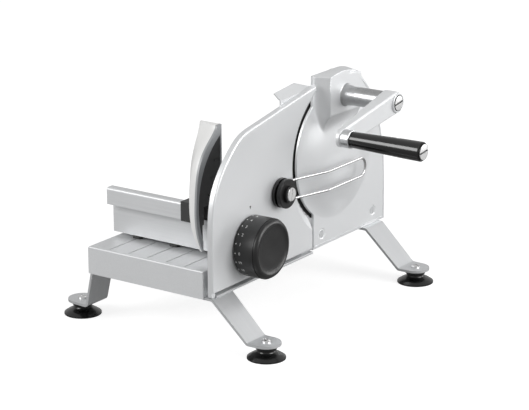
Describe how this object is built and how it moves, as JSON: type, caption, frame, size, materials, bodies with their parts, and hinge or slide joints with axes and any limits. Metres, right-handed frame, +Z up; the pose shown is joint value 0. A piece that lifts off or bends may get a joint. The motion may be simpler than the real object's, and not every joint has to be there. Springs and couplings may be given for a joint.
{
  "type": "hand-cranked bread slicer",
  "caption": "Hand-cranked bread slicer: side crank geared to a round blade, sliding carriage with pusher, dial-set stop plate with wire slice holder, bent strip legs on suction feet",
  "frame": {"origin": "middle of the footprint of the whole object in its rest pose, crank grip included, on the worktop plane under the suction feet", "axes": "+Z up; +X from the loaf side towards the slice side, where the crank is; +Y away from the user, the way the carriage travels"},
  "size_m": [0.4038, 0.3711, 0.276],
  "materials": {
    "silver_coat": "pale silver, satin",
    "satin_aluminium": "satin",
    "cup_rubber": "glossy black",
    "bright_screw": "bright, slotted",
    "turned_steel": "turned",
    "bearing_brass": "plain",
    "blade_steel": "ground and polished",
    "dark_plastic": "near black",
    "satin_black": "satin black",
    "gloss_black": "glossy black",
    "polished_wire": "polished stainless wire",
    "white_plastic": "white shell, grey rim"
  },
  "bodies": {
    "base": {"table": "silver_coat", "front_leg_strip": "satin_aluminium", "rear_leg_strip": "satin_aluminium", "suction_cup_front_left": "cup_rubber", "suction_cup_front_right": "cup_rubber", "suction_cup_rear_left": "cup_rubber", "suction_cup_rear_right": "cup_rubber", "foot_screws": "bright_screw", "housing": "silver_coat", "housing_spacer": "satin_aluminium", "housing_screws": "bright_screw", "gear_cover": "turned_steel", "bearing_tube": "turned_steel", "crank_bushes": "bearing_brass", "blade_axle": "turned_steel", "blade_bolt": "turned_steel", "stop_rail": "satin_aluminium", "guide_bushes": "bearing_brass", "follower_pin": "turned_steel"},
    "blade_unit": {"blade": "blade_steel", "blade_screws": "bright_screw", "blade_gear": "dark_plastic"},
    "crank": {"crank_pinion": "dark_plastic", "crank_shaft": "turned_steel", "crank_washer": "dark_plastic", "crank_arm": "satin_aluminium", "crank_cap": "bright_screw", "grip_spindle": "turned_steel", "grip_ferrule": "turned_steel", "grip_cap": "bright_screw"},
    "grip_body": {"grip": "gloss_black"},
    "stop": {"stop_plate": "silver_coat", "stop_liner": "satin_aluminium", "top_lip": "satin_aluminium", "guide_rods": "turned_steel", "holder_screw": "bright_screw"},
    "knob": {"thickness_knob": "satin_black", "step_cam": "dark_plastic", "knob_clip": "turned_steel"},
    "holder": {"holder_hub": "satin_black", "slice_loop": "polished_wire"},
    "carriage_body": {"carriage": "silver_coat", "carriage_runners": "dark_plastic"},
    "pusher": {"pusher_shell": "white_plastic", "pusher_face": "dark_plastic", "pusher_shoe": "dark_plastic"}
  },
  "joints": [
    {"name": "crank_spin", "type": "hinge", "parent": "base", "child": "crank", "pos_m": [0.06, 0.0696, 0.24591], "axis": [1, 0, 0], "continuous": true},
    {"name": "blade_spin", "type": "hinge", "parent": "base", "child": "blade_unit", "pos_m": [0.02, 0.0733, 0.173], "axis": [1, 0, 0], "continuous": true},
    {"name": "grip_spin", "type": "hinge", "parent": "crank", "child": "grip_body", "pos_m": [0.15, -0.02968, 0.2248], "axis": [1, 0, 0], "continuous": true},
    {"name": "stop_slide", "type": "slide", "parent": "base", "child": "stop", "axis": [1, 0, 0], "range_m": [-0.005, 0.014]},
    {"name": "knob_turn", "type": "hinge", "parent": "stop", "child": "knob", "pos_m": [0.04, -0.1105, 0.1069], "axis": [1, 0, 0], "range_deg": [-90, 252]},
    {"name": "holder_swing", "type": "hinge", "parent": "stop", "child": "holder", "pos_m": [0.032, -0.0512, 0.1542], "axis": [1, 0, 0], "range_deg": [-85, 25]},
    {"name": "carriage_slide", "type": "slide", "parent": "base", "child": "carriage_body", "axis": [0, 1, 0], "range_m": [-0.045, 0.19]},
    {"name": "pusher_slide", "type": "slide", "parent": "carriage_body", "child": "pusher", "axis": [1, 0, 0], "range_m": [-0.1, 0.018]}
  ],
  "couplings": [
    {"joint": "blade_spin", "follows": "crank_spin", "ratio": -0.4898},
    {"joint": "knob_turn", "follows": "stop_slide", "rad_per_m": 314.16}
  ]
}
